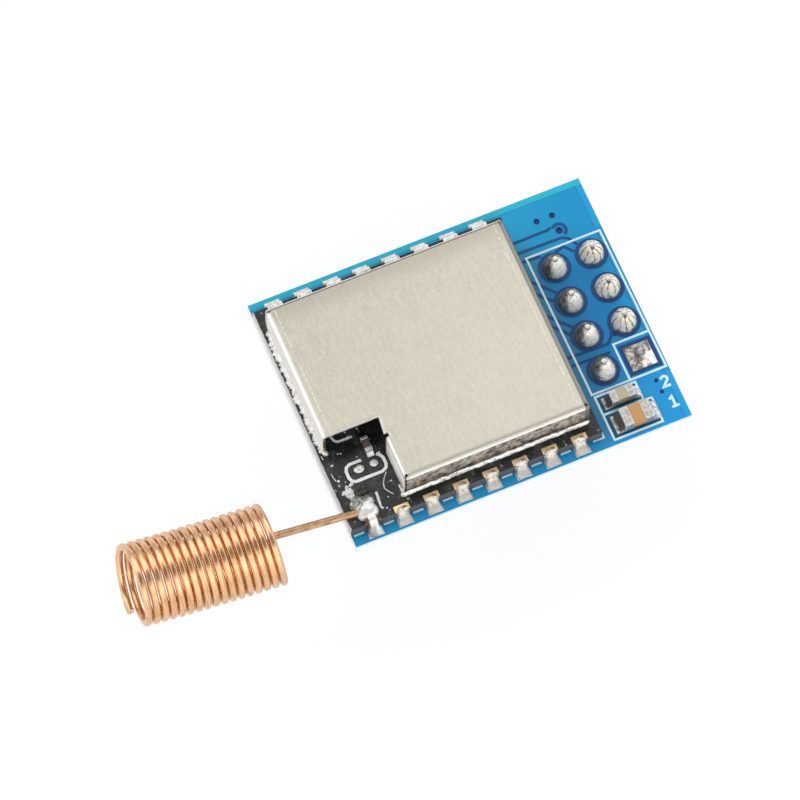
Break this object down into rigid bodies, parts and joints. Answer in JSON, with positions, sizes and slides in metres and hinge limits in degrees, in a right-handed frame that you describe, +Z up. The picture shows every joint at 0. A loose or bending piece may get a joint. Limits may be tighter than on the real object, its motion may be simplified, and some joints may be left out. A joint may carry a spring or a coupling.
{
  "type": "lora module",
  "caption": "Radio module: a shielded castellated board soldered on a carrier board, with a coiled wire antenna at one end and a pin header under the other.",
  "frame": {"origin": "centre of the header strip's underside, where the module seats on its host", "axes": "+X along the boards from the antenna end to the header end, +Y across them away from the capacitors, +Z up from the host through the boards to the shield can"},
  "size_m": [0.0376, 0.0194, 0.016],
  "materials": {
    "blue_board": "glass laminate under glossy blue solder mask",
    "black_board": "glass laminate under satin black solder mask",
    "shield_metal": "folded nickel-silver sheet, fine grain",
    "copper_wire": "drawn copper wire, bright",
    "solder": "solder, bright and slightly uneven",
    "tin_plate": "tin plating, satin",
    "header_plastic": "black moulded plastic",
    "pin_metal": "gold-plated square brass pins",
    "large_ceramic": "orange-tan unglazed ceramic",
    "small_ceramic": "beige unglazed ceramic",
    "dark_ceramic": "dark brown-grey unglazed ceramic",
    "chip_plastic": "black moulded chip package"
  },
  "bodies": {
    "root": {"carrier_board": "blue_board", "radio_board": "black_board", "shield_can": "shield_metal", "shield_bead_front": "solder", "shield_bead_left": "solder", "spring_antenna": "copper_wire", "antenna_joint": "solder", "edge_joint_front_2": "solder", "edge_joint_front_3": "solder", "edge_joint_front_4": "solder", "edge_joint_front_5": "solder", "edge_joint_front_6": "solder", "edge_joint_front_7": "solder", "edge_joint_front_8": "solder", "edge_joint_back_1": "solder", "edge_joint_back_2": "solder", "edge_joint_back_3": "solder", "edge_joint_back_4": "solder", "edge_joint_back_5": "solder", "edge_joint_back_6": "solder", "edge_joint_back_7": "solder", "edge_joint_back_8": "solder", "header_insulator": "header_plastic", "header_pin_1": "pin_metal", "header_pin_2": "pin_metal", "header_pin_3": "pin_metal", "header_pin_4": "pin_metal", "header_pin_5": "pin_metal", "header_pin_6": "pin_metal", "header_pin_7": "pin_metal", "header_pin_8": "pin_metal", "pin_joint_1": "solder", "pin_joint_2": "solder", "pin_joint_3": "solder", "pin_joint_4": "solder", "pin_joint_5": "solder", "pin_joint_6": "solder", "pin_joint_7": "solder", "pin_joint_8": "solder", "large_capacitor_body": "large_ceramic", "large_capacitor_end_left": "tin_plate", "large_capacitor_end_right": "tin_plate", "large_capacitor_fillet_left": "solder", "large_capacitor_fillet_right": "solder", "small_capacitor_body": "small_ceramic", "small_capacitor_end_left": "tin_plate", "small_capacitor_end_right": "tin_plate", "small_capacitor_fillet_left": "solder", "small_capacitor_fillet_right": "solder", "notch_chip_body": "dark_ceramic", "notch_chip_end_front": "tin_plate", "notch_chip_end_back": "tin_plate", "notch_chip_fillet": "solder", "spare_pad_left": "solder", "spare_pad_right": "solder", "radio_chip": "chip_plastic", "crystal": "tin_plate", "matching_chip_1": "dark_ceramic", "matching_chip_2": "dark_ceramic"}
  },
  "joints": []
}
